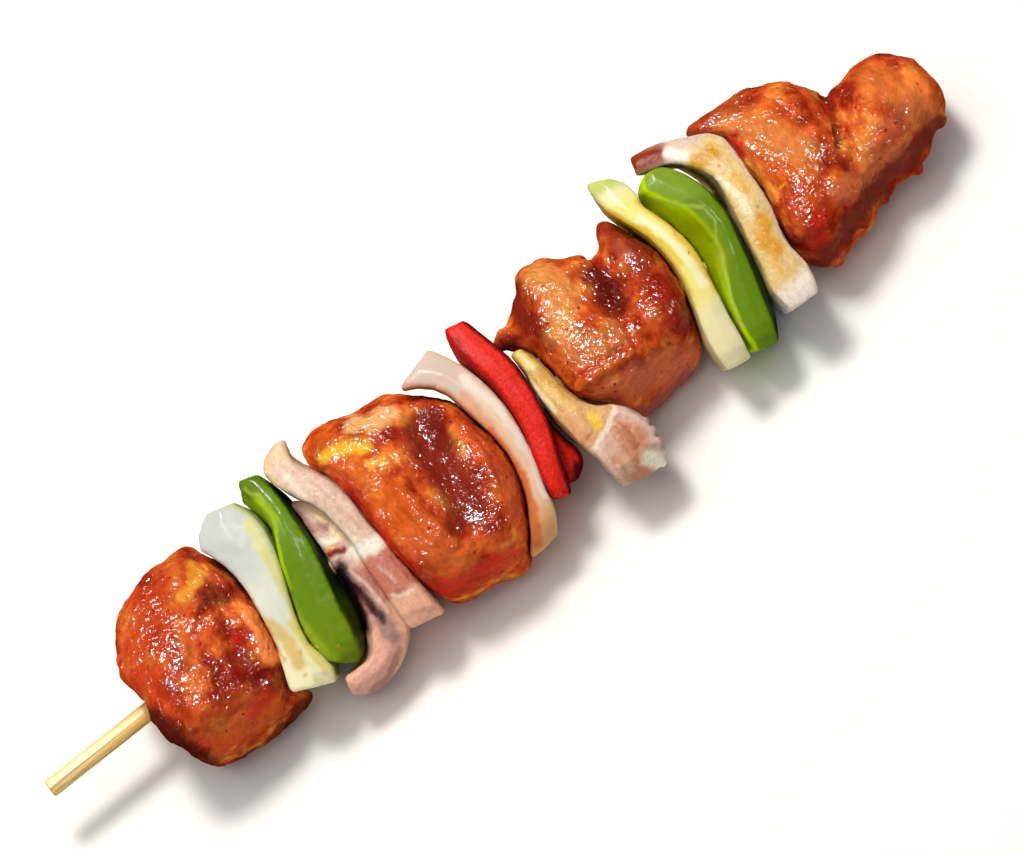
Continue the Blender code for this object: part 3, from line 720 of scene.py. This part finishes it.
make_pork(
    "pork_3",
    folds=[
        (0.9, 1.0, (121.0, -2.3), (126.8, -2.7), (132.0, -3.3), (136.6, -5.1)),
        (-0.8, 0.8, (137.6, 15.5), (138.0, 10.0)),
        (1.3, 1.8, (115.0, 13.4), (117.0, 12.8)),
    ],
    stains_and_painted_light=[
        ("#DE9A50", 0.7, 3.6, (127.7, 18.0), (129.1, 13.5), (124.6, 7.8)),
        ("#D8803E", 0.65, 3.6, (125.0, 3.0), (131.0, 1.0)),
        ("#7E2214", 1.0, 2.6, (122.2, 19.5), (121.2, 13.5)),
        (MAROON, 0.6, 2.6, (114.4, 12.0), (118.4, 10.7)),
        (RED, 0.8, 1.1, (137.4, 15.1), (138.2, 12.9)),
        # Painted shade in the hollow between the lobes.
        ("#5E120E", 0.95, 3.0, (136.4, 12.0), (135.6, 8.0), (136.1, 5.0)),
        ("#8A2C16", 0.85, 4.0, (144.6, 15.7), (145.0, 9.1)),
        ("#8A1A10", 0.9, 4.0, (144.0, 2.5), (143.0, -4.0)),
        (MATTE_MEAT, 0.5, 1.5, (143.0, 12.9), (143.2, 11.0)),
        (ORANGE, 0.8, 0.9, (121.0, -2.6), (126.8, -2.9), (132.0, -3.5)),
        ("#D8704C", 0.9, 3.4, (122.0, -7.5), (130.9, -8.2), (139.8, -11.1)),
        (SHADE_MEAT, 0.8, 2.0, (124.0, -13.6), (131.0, -14.4), (139.0, -13.8)),
    ],
    dry_places=[
        (0.9, 3.4, (122.0, -8.0), (131.0, -9.0), (140.0, -11.5)),
        (0.7, 2.5, (143.0, 13.0)),
        (0.7, 2.2, (115.0, 13.6), (117.0, 13.2)),
    ],
)

# %% Pork 4, the long one at the tip

make_pork(
    "pork_4",
    folds=[
        (-1.0, 1.0, (190.7, 11.9), (189.2, 6.5), (186.2, 2.6)),
        (-0.5, 0.9, (173.0, 16.0), (177.0, 6.0)),
        (1.0, 1.3, (205.3, -5.4)),
        (1.1, 1.2, (196.3, -9.4)),
        (0.9, 1.1, (188.1, -9.9)),
        (0.9, 1.1, (181.7, -11.4)),
        (0.8, 1.2, (173.8, -14.4)),
    ],
    stains_and_painted_light=[
        (BRICK, 0.8, 2.6, (167.5, 21.6), (171.0, 22.0), (176.5, 20.2)),
        (ORANGE, 0.55, 5.0, (178.0, 14.0), (177.0, 4.0)),
        ("#DC8A48", 0.65, 4.0, (172.5, 17.0), (177.0, 12.0), (180.0, 6.0)),
        # Painted light, a very pale orange that lifts the shade beside bacon 3.
        ("#FFB050", 0.9, 2.2, (170.6, 10.0), (170.3, 4.0)),
        ("#E8803C", 0.6, 4.0, (199.0, 8.0), (203.3, -1.0)),
        ("#FA843A", 0.8, 2.6, (205.0, 3.0), (203.6, -1.6)),
        ("#A8280E", 0.8, 3.0, (177.0, -5.0), (172.4, -4.8), (172.0, -9.4)),
        ("#A82A14", 0.6, 1.2, (205.3, -5.8), (196.3, -10.0)),
        ("#DC7248", 0.7, 2.8, (181.0, -4.4), (187.0, -5.6), (194.0, -5.4)),
        (RED, 0.8, 1.6, (171.8, 15.9), (171.4, 13.0)),
        (RED, 0.7, 1.3, (188.9, 9.3)),
        (RED, 0.6, 1.8, (174.5, -6.2), (172.4, -8.4)),
        ("#F0A020", 1.0, 0.55, (173.1, 3.1)),
        # Painted shade along the crease.
        (MAROON, 0.7, 0.9, (190.7, 11.9), (189.2, 6.5), (186.2, 2.6)),
        (MATTE_MEAT, 0.45, 4.0, (192.0, -2.0), (202.2, -1.0)),
        # Painted shade on the underside, along the drips.
        (
            "#702C24", 0.9, 2.3, (170.9, -12.6), (178.4, -10.2), (187.2, -8.0),
            (196.1, -7.0), (204.1, -5.4),
        ),
    ],
    dry_places=[
        (0.9, 6.0, (194.0, 5.0), (204.0, 3.0)),
        (0.9, 3.0, (171.0, -12.0), (187.0, -8.0), (204.0, -5.0)),
    ],
)

# %% [markdown]
# ## Slices
# Onion, pepper and bacon share the way from solid to skin, with a finer net, because
# their edges are crisp. A slice has a face that looks to the handle, one that looks to
# the tip, and a cut edge between them that looks up. Those three are told apart by the
# direction of the skin, so a colour can be given to each of them whatever its outline.

# %% Functions that start and finish a slice

SLICE_NET = 0.33  # mm
SLICE_WAVES = 5.0 * MM


def start_slice(node, suffix, unevenness=0.35):
    """A slice as a smooth, slightly uneven skin (mm), ready to be painted."""
    piece = skin_over(node, node + suffix, SLICE_NET, passes=3, swell=0.42)
    waves = bpy.data.textures.new(node + "_waves", "CLOUDS")
    waves.noise_scale = SLICE_WAVES
    apply_modifier(
        piece, "DISPLACE", texture=waves, texture_coords="LOCAL",
        strength=unevenness * MM, mid_level=0.5,
    )
    return read_skin(piece, wander=0.5)


def finish_slice(skin, material):
    """Keeps a slice's paint and gives it its material."""
    keep_paint(skin)
    skin["piece"].data.materials.append(material)


# %% Two ways to choose a part of a slice: by how it is turned, and by its height in view


def turned(skin, low, high):
    """0 to 1: how far the skin is turned to the tip (low below high) or to the handle."""
    if low < high:
        return fade(skin["normals"] @ np.array(ALONG), low, high)
    return fade(-(skin["normals"] @ np.array(ALONG)), -low, -high)


def between(skin, v_low, v_high, soft=1.5):
    """0 to 1: the part of a slice from v_low to v_high, with soft wandering ends."""
    v = skin["v"] + 2 * skin["drift_v"]
    return fade(v, v_low - soft, v_low + soft) * (1 - fade(v, v_high - soft, v_high + soft))


# %% [markdown]
# ## The moist translucent materials
# Onion, pepper flesh and fat are mostly water held in cells. Light goes a few millimetres
# in and comes out again, so shadows in them are pale, and a thin film of juice gives a
# faint highlight. They differ in colour, in how deep light goes and in grain.

# %% The material of what is moist: smooth, and light goes in


def moist_material(name, base, light_depth, roughness, grain, bump_mm, coat):
    """A moist translucent material: light_depth in mm, grain as (mm, strength)."""
    material = start_material(name)
    tree = material.node_tree
    where = add_node(tree, "ShaderNodeTexCoord").outputs["Object"]
    painted = add_node(tree, "ShaderNodeAttribute", attribute_name="paint")
    stained = add_node(
        tree,
        "ShaderNodeMix",
        {"Factor": painted.outputs["Alpha"], "A": srgb(base), "B": painted.outputs["Color"]},
        data_type="RGBA",
    )
    cells = add_node(
        tree,
        "ShaderNodeTexNoise",
        {"Vector": where, "Scale": per_mm(grain[0]), "Detail": 4.0, "Roughness": 0.65},
    )
    shade = add_node(
        tree,
        "ShaderNodeMapRange",
        {
            "Value": cells.outputs["Fac"],
            "From Min": 0.3,
            "From Max": 0.7,
            "To Min": 1 - grain[1],
            "To Max": 1 + grain[1],
        },
    )
    grained = add_node(
        tree,
        "ShaderNodeVectorMath",
        {0: stained.outputs["Result"], "Scale": shade.outputs["Result"]},
        operation="SCALE",
    )
    bump = add_node(
        tree,
        "ShaderNodeBump",
        {"Height": cells.outputs["Fac"], "Strength": 0.8, "Distance": bump_mm * MM},
    )
    wet = add_node(tree, "ShaderNodeAttribute", attribute_name="wet")
    juice = add_node(
        tree, "ShaderNodeMapRange", {"Value": wet.outputs["Fac"], "To Min": 0.0, "To Max": coat}
    )
    shader = add_node(
        tree,
        "ShaderNodeBsdfPrincipled",
        {
            "Base Color": grained.outputs["Vector"],
            "Roughness": roughness,
            "Normal": bump.outputs["Normal"],
            "IOR": 1.38,
            "Specular IOR Level": 0.05,
            "Subsurface Weight": 0.4,
            "Subsurface Radius": (1.0, 0.8, 0.5),
            "Subsurface Scale": light_depth * MM,
            "Coat Weight": juice.outputs["Result"],
            "Coat Roughness": 0.20,
            "Coat Normal": bump.outputs["Normal"],
        },
    )
    add_node(tree, "ShaderNodeOutputMaterial", {"Surface": shader.outputs["BSDF"]})
    print(name, "lets light", light_depth, "mm in")
    return material


# %% Onion, green and red pepper, and bacon, which is the least smooth of them

onion_material = moist_material("raw_onion", "#DADBCF", 2.5, 0.35, (2.5, 0.03), 0.03, 0.05)
green_material = moist_material("green_pepper_flesh", "#688A12", 1.2, 0.35, (1.5, 0.07), 0.06, 0.10)
red_material = moist_material("red_pepper_flesh", "#DE2A1E", 0.6, 0.4, (0.5, 0.28), 0.14, 0.06)
bacon_material = moist_material("raw_streaky_bacon", "#DCBEAB", 1.2, 0.45, (0.9, 0.14), 0.30, 0.22)

# %% [markdown]
# ## Onion
# Three layers of a white onion. The outer cells are bluish white, the inner ones yellow
# to green, and marinade has crept along the edge that touches the meat.

# %% Onion 1, broad, with its bluish end up

skin = start_slice("onion_1", "_layer")
lay_colour(skin, "#BFC3C0", 0.9 * between(skin, 8, 30, soft=5))
lay_colour(skin, "#F6ECC0", 0.85 * between(skin, -30, -5, soft=5))
lay_colour(skin, "#BCC266", 0.75 * turned(skin, 0.2, 0.6))
paint(skin, [
    ("#CFCB72", 0.8, 1.4, (58.5, 15.0), (57.2, 6.0), (56.0, -2.0), (54.8, -8.0)),
    ("#CFAE48", 0.7, 1.6, (50.2, -1.0), (51.0, -5.6), (50.4, -10.0)),
    ("#D8C660", 0.7, 1.0, (53.6, -4.0), (53.4, -14.0)),
    ("#C8A63C", 0.8, 0.5, (51.6, -8.8)),
    ("#C8A63C", 0.8, 0.45, (49.7, -12.4)),
    ("#C8923C", 0.7, 0.4, (49.5, 12.0), (50.5, 4.0), (49.3, -2.0), (48.3, -8.0)),
])
dry(skin, [(0.9, 6.0, (52.0, 16.0), (56.0, 12.0), (56.0, 6.0))])
finish_slice(skin, onion_material)

# %% Onion 2, thin and stained all over by the marinade

skin = start_slice("onion_2", "_layer")
lay_colour(skin, "#D0B6AA", 0.9 * between(skin, 8, 30, soft=5))
lay_colour(skin, "#E3BC9C", 0.9 * between(skin, -14, 8, soft=5))
lay_colour(skin, "#D8924E", 0.85 * between(skin, -30, -14, soft=4))
lay_colour(skin, "#D49468", 0.8 * turned(skin, -0.1, -0.5))
lay_colour(skin, "#E0C0A0", 0.6 * turned(skin, 0.2, 0.7))
paint(skin, [
    ("#D88E62", 0.6, 1.4, (103.4, 9.0), (103.4, 3.0), (102.8, -4.0)),
    ("#D06A32", 0.85, 1.1, (103.2, 1.0), (102.7, -8.6), (99.6, -16.4), (97.2, -20)),
    ("#F0E4DC", 0.7, 1.0, (105.5, 12.0), (107.0, 4.0), (106.4, -6.0), (104.0, -14.0)),
])
finish_slice(skin, onion_material)

# %% Onion 3, an inner layer: yellow, and green at its top

skin = start_slice("onion_3", "_layer")
lay_colour(skin, "#E6DCA8", 0.8 * between(skin, -30, -6, soft=4))
lay_colour(skin, "#ECDF74", 0.85 * between(skin, -6, 22, soft=4))
lay_colour(skin, "#B4C43E", 0.8 * between(skin, 22.6, 30, soft=1.2))
lay_colour(skin, "#D4B02C", 0.75 * between(skin, -2, 22, soft=2) * turned(skin, -0.2, -0.6))
paint(skin, [
    ("#E0B424", 0.75, 0.9, (150.7, 17.3), (152.6, 10.6), (153.0, 2.7), (151.8, -4.0)),
    ("#DDBE2C", 0.7, 0.7, (146.4, 17.3), (149.4, 8.1), (149.6, 4.0)),
    ("#F2EECE", 0.7, 0.9, (149.0, 15.0), (151.0, 6.0), (150.6, -2.0)),
    ("#A04A14", 0.9, 0.35, (152.2, 4.2)),
])
dry(skin, [(0.8, 2.5, (149.0, 16.0), (151.0, 9.0), (151.0, 3.0))])
finish_slice(skin, onion_material)

# %% [markdown]
# ## Sweet pepper
# A cut slice shows three greens: the inner wall is lime and shiny, the cut edge is a fresh
# green, and the skin outside is dark and waxy, painted darker still as shade where it turns
# from the light. A pale line of painted highlight runs where the wall turns into the edge.
# The red slice is duller, and its cut cells show as a grain.

# %% Green pepper 1, with three specks of spice

skin = start_slice("green_pepper_1", "_flesh")
# The dark skin is painted darker still, as shade where it turns from the light.
lay_colour(skin, "#1E3C0C", turned(skin, 0.5, 0.85))
lay_colour(skin, "#A8CA10", 0.85 * between(skin, 2, 24, soft=2) * turned(skin, -0.1, -0.4))
lay_colour(skin, "#7C9014", 0.5 * between(skin, -30, -6, soft=4))
lay_colour(skin, "#566E18", 0.8 * between(skin, 19, 30, soft=1.5))
paint(skin, [
    # A pale line of painted highlight where the wall turns into the edge.
    ("#A4B450", 0.8, 0.35, (61.4, 20.8), (63.0, 18.4), (63.3, 17.0), (61.4, 12.5), (58.1, 6.9)),
    ("#A8B430", 0.5, 1.4, (56.0, 4.0), (54.8, -4.0), (54.8, -14.0)),
    # Painted shade on the lower edge of the skin side.
    ("#2E400C", 0.8, 0.6, (62.6, -5.0), (62.1, -10.0), (61.0, -14.6)),
    ("#D8B83C", 0.9, 0.35, (54.8, -4.1)),
    ("#D8B83C", 0.9, 0.30, (54.6, -9.7)),
    ("#D0A030", 0.9, 0.30, (57.4, -12.0)),
])
dry(skin, [(0.8, 3.0, (61.0, 20.0), (60.0, 13.0), (58.0, 6.0))])
finish_slice(skin, green_material)

# %% Green pepper 2, with a long pale line of painted highlight

skin = start_slice("green_pepper_2", "_flesh")
# The dark skin is painted darker still, as shade where it turns from the light.
lay_colour(skin, "#20400F", turned(skin, 0.5, 0.85))
lay_colour(skin, "#84A030", 0.8 * between(skin, 12, 30, soft=2))
lay_colour(skin, "#B4D404", 0.95 * turned(skin, -0.12, -0.4))
lay_colour(skin, "#8A940A", 0.6 * between(skin, -2, 10, soft=3) * turned(skin, -0.05, -0.2))
paint(skin, [
    # A long pale line of painted highlight where the wall turns into the edge.
    (
        "#A4B450", 0.7, 0.35, (151.5, 18.6), (155.6, 13.0), (159.2, 9.3), (159.5, 6.4),
        (157.0, 2.1), (154.6, -2.9), (152.4, -8.1), (151.2, -13.0),
    ),
])
finish_slice(skin, green_material)

# %% Red pepper, painted dark with shade on both faces

skin = start_slice("red_pepper", "_flesh")
# Painted shade: both faces are darkened, the skin side most, as they turn from the light.
lay_colour(skin, "#B01818", 0.8 * turned(skin, -0.2, -0.6))
lay_colour(skin, "#6E0A12", 0.9 * turned(skin, 0.3, 0.7))
paint(skin, [
    # Painted shade beside onion 2, and a deep painted shadow at the lower end.
    ("#A01216", 0.8, 0.9, (108.5, 18.3), (107.6, 10.0), (106.9, 3.0), (106.5, -3.3)),
    ("#4E0A16", 0.9, 1.2, (109.8, -16.0), (111.8, -14.0)),
])
dry(skin, [(0.9, 3.0, (112.0, 18.0), (113.0, 8.0))])
finish_slice(skin, red_material)

# %% [markdown]
# ## Bacon
# Streaky bacon is cured belly: bands of pink lean and of nearly white fat that run the
# length of the rasher. Marinade stains the fat yellow and orange.

# %% The colours that recur in the rashers

FAT = "#F0E8DC"
YELLOW_FAT = "#EAD69A"
STAINED_FAT = "#DFA42C"
PALE_LEAN = "#DCBEAB"
MAUVE_LEAN = "#A87E78"
SALMON_LEAN = "#C6745E"
ROSE_LEAN = "#CD8C6C"
# A near black, painted as the shadow in the gap between two layers.
GAP_SHADOW = "#1C0C18"

# %% Bacon 1, folded, with painted shadow in the gap between its layers

skin = start_slice("bacon_1", "_rasher", unevenness=0.6)
lay_colour(skin, PALE_LEAN, 0.95 * between(skin, -3, 20, soft=1))
lay_colour(skin, "#D4B09C", 0.7 * between(skin, 9, 21, soft=3))
lay_colour(skin, "#DFC09C", 0.9 * between(skin, 20, 30, soft=1.5))
lay_colour(skin, SALMON_LEAN, 0.95 * between(skin, -12, -3, soft=1))
lay_colour(skin, "#E8AF92", 0.9 * between(skin, -30, -12, soft=1))
paint(skin, [
    ("#EFD9C2", 0.8, 0.8, (69.0, 17.5), (69.4, 12.0), (70.6, 6.0), (71.4, 1.0)),
    ("#C89486", 0.6, 0.5, (72.4, 14.0), (73.0, 8.0), (74.2, 2.0)),
    (YELLOW_FAT, 0.7, 0.7, (66.6, 21.0), (66.8, 15.5), (69.2, 8.5), (69.8, 3.0)),
    (FAT, 1.0, 1.7, (70.6, -0.6), (74.0, -1.8), (77.0, -1.6)),
    (FAT, 0.5, 0.5, (71.2, -11.2), (74.8, -12.6)),
    (FAT, 0.25, 0.4, (72.6, -5.4), (72.9, -9.4)),
    ("#9E4638", 0.6, 0.35, (75.2, -5.0), (75.3, -10.6)),
    (MAUVE_LEAN, 0.95, 2.2, (66.0, 14.0), (66.2, 9.5)),
    ("#AE7A6C", 0.9, 1.3, (66.4, 7.4), (68.8, 6.4)),
    (FAT, 0.9, 0.8, (66.2, 4.7), (68.8, 3.8)),
    (STAINED_FAT, 0.7, 0.6, (66.0, 3.2), (68.6, 2.6)),
    ("#882812", 1.0, 1.0, (66.2, 1.9), (68.8, 1.0)),
    (MAUVE_LEAN, 0.95, 2.2, (66.2, -1.5), (67.6, -6.0), (67.2, -12.0), (66.0, -17.0)),
    ("#E2BEB0", 0.8, 0.45, (68.0, -2.4), (68.3, -7.0), (68.2, -12.5)),
    # Painted shade on the edge of the front layer, and painted shadow in the gap beside it.
    ("#481412", 1.0, 0.8, (66.2, -3.3), (66.6, -8.0), (66.8, -13.7)),
    (GAP_SHADOW, 1.0, 1.7, (66.2, -1.5), (65.4, -5.0), (64.4, -8.5), (62.9, -12.5)),
    ("#E2A898", 0.9, 3.0, (63.0, -18.5), (58.5, -20.5), (55.0, -20.0)),
    ("#9A6A66", 0.6, 0.7, (65.6, -19.6), (61.0, -22.4), (57.0, -22.4)),
])
finish_slice(skin, bacon_material)

# %% Bacon 2, whose flap has a scalloped edge

skin = start_slice("bacon_2", "_rasher", unevenness=0.6)
sculpt(skin, [
    (0.4, 0.8, (127.0, -14.8)),
    (0.4, 0.7, (126.8, -16.9)),
    (0.45, 0.8, (126.4, -19.0)),
    (0.4, 0.8, (126.0, -21.2)),
    (0.4, 0.9, (124.6, -23.4)),
    (-0.4, 0.50, (118.2, -14.0), (117.6, -17.5)),
    (0.35, 0.60, (122.0, -12.0), (122.6, -17.0)),
])
lay_colour(skin, "#CC9E4C", 0.95 * between(skin, -4, 30, soft=2))
lay_colour(skin, "#DCA566", 0.85 * between(skin, -12, -3, soft=1))
paint(skin, [
    ("#EFD58C", 0.8, 1.0, (116.0, 9.0), (116.4, 5.6)),
    (STAINED_FAT, 0.8, 0.7, (116.2, 3.0), (117.0, -1.0)),
    # A painted wet highlight down the fat.
    ("#FBEBC4", 0.8, 0.7, (113.4, 10.0), (114.4, 4.0), (114.6, -3.0)),
    ("#E8BC68", 0.7, 0.9, (116.4, 1.0), (117.6, -5.0)),
    ("#E0A070", 0.7, 1.4, (114.2, -5.7), (116.5, -11.2)),
    (ROSE_LEAN, 1.0, 5.2, (124.0, -13.6), (121.0, -18.5), (121.0, -22.0)),
    ("#EFC62E", 0.95, 1.2, (119.4, -8.0), (119.3, -9.7)),
    ("#F0E2D2", 0.8, 0.6, (123.6, -9.6), (120.0, -11.4), (116.2, -13.0)),
    ("#DDB49A", 0.7, 1.0, (119.5, -15.0), (119.0, -20.0)),
    ("#DCBEB6", 0.85, 2.4, (125.5, -11.0), (127.6, -15.0), (126.8, -19.5)),
    ("#B06A4C", 0.6, 0.8, (122.6, -13.4), (122.2, -17.6)),
    # Painted light on the end of the flap, which lifts its shade.
    ("#FFF2D6", 1.0, 2.0, (122.8, -20.4), (124.4, -22.9)),
])
finish_slice(skin, bacon_material)

# %% Bacon 3, nearly all fat, with a lean end

skin = start_slice("bacon_3", "_rasher", unevenness=0.6)
lay_colour(skin, "#DFBF7C", 0.95 * between(skin, -30, 19, soft=1))
lay_colour(skin, "#F6ECE8", 0.8 * between(skin, -30, -11.5, soft=1.5))
lay_colour(skin, "#F2D6BE", 0.8 * turned(skin, 0.3, 0.7))
paint(skin, [
    ("#8E300C", 1.0, 2.4, (154.2, 23.8), (159.0, 22.2)),
    (FAT, 1.0, 1.5, (161.0, 20.8), (162.4, 18.8)),
    ("#CC940A", 1.0, 1.8, (163.9, 16.4), (167.0, 16.2)),
    ("#EFE6C8", 0.7, 0.8, (165.0, 12.0), (165.6, 6.0), (164.6, 0.0)),
    (STAINED_FAT, 0.75, 1.0, (167.1, 10.2), (167.4, 6.6)),
    ("#DA9A14", 0.95, 2.0, (166.0, 0.6), (164.2, -2.6), (164.8, -5.0)),
    (STAINED_FAT, 0.6, 0.8, (163.4, -6.0), (163.0, -9.0)),
    ("#C0601E", 0.8, 0.3, (166.3, 13.4)),
    ("#C0601E", 0.8, 0.3, (167.4, 3.2)),
    ("#A8481A", 0.8, 0.3, (164.6, -7.4)),
])
finish_slice(skin, bacon_material)

# %% [markdown]
# ## The bamboo stick
# Round skewers are split from a bamboo culm and turned. The fibres run its whole length,
# 0.2 to 0.5 mm apart, in straw yellow with brown lines. That is too fine to show, so they
# are drawn 0.7 mm apart. Close to the meat the oil has darkened the wood.

# %% The colour of the stick: its fibres

bamboo = start_material("turned_bamboo")
tree = bamboo.node_tree
where = add_node(tree, "ShaderNodeTexCoord").outputs["Object"]
along_grain = add_node(
    tree, "ShaderNodeMapping", {"Vector": where, "Scale": (0.02, 1.0, 1.0)}
)
fibres = add_node(
    tree,
    "ShaderNodeTexNoise",
    {
        "Vector": along_grain.outputs["Vector"],
        "Scale": per_mm(0.7),
        "Detail": 4.0,
        "Roughness": 0.7,
    },
)
straw = add_node(tree, "ShaderNodeValToRGB", {"Fac": fibres.outputs["Fac"]})
straw.color_ramp.elements[0].position = 0.32
straw.color_ramp.elements[0].color = srgb("#C08C40")
straw.color_ramp.elements[1].position = 0.62
straw.color_ramp.elements[1].color = srgb("#FFEFB8")
straw.color_ramp.elements.new(0.46).color = srgb("#F6D686")
groove = add_node(
    tree,
    "ShaderNodeBump",
    {"Height": fibres.outputs["Fac"], "Strength": 0.5, "Distance": 0.15 * MM},
)
print("fibres of the stick:", len(tree.nodes), "nodes")

# %% The oil that has crept along it, and its shader

OIL_STARTS = 8 * MM  # from the blunt end
OIL_FULL = 22 * MM

apart = add_node(tree, "ShaderNodeSeparateXYZ", {"Vector": where})
near_meat = add_node(
    tree,
    "ShaderNodeMapRange",
    {
        "Value": apart.outputs["X"],
        "From Min": BLUNT_END.x + OIL_STARTS,
        "From Max": BLUNT_END.x + OIL_FULL,
        "To Min": 0.0,
        "To Max": 0.75,
    },
)
oiled = add_node(
    tree,
    "ShaderNodeMix",
    {"Factor": near_meat.outputs["Result"], "A": (1, 1, 1, 1), "B": srgb("#F4CE8C")},
    data_type="RGBA",
    blend_type="MULTIPLY",
)
toned = add_node(
    tree,
    "ShaderNodeMix",
    {"Factor": 1.0, "A": straw.outputs["Color"], "B": oiled.outputs["Result"]},
    data_type="RGBA",
    blend_type="MULTIPLY",
)
shader = add_node(
    tree,
    "ShaderNodeBsdfPrincipled",
    {
        "Base Color": toned.outputs["Result"],
        "Roughness": 0.5,
        "Normal": groove.outputs["Normal"],
        "IOR": 1.5,
    },
)
add_node(tree, "ShaderNodeOutputMaterial", {"Surface": shader.outputs["BSDF"]})

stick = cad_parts["stick"]
stick.data.materials.clear()
stick.data.materials.append(bamboo)
print(bamboo.name, "has", len(tree.nodes), "nodes")
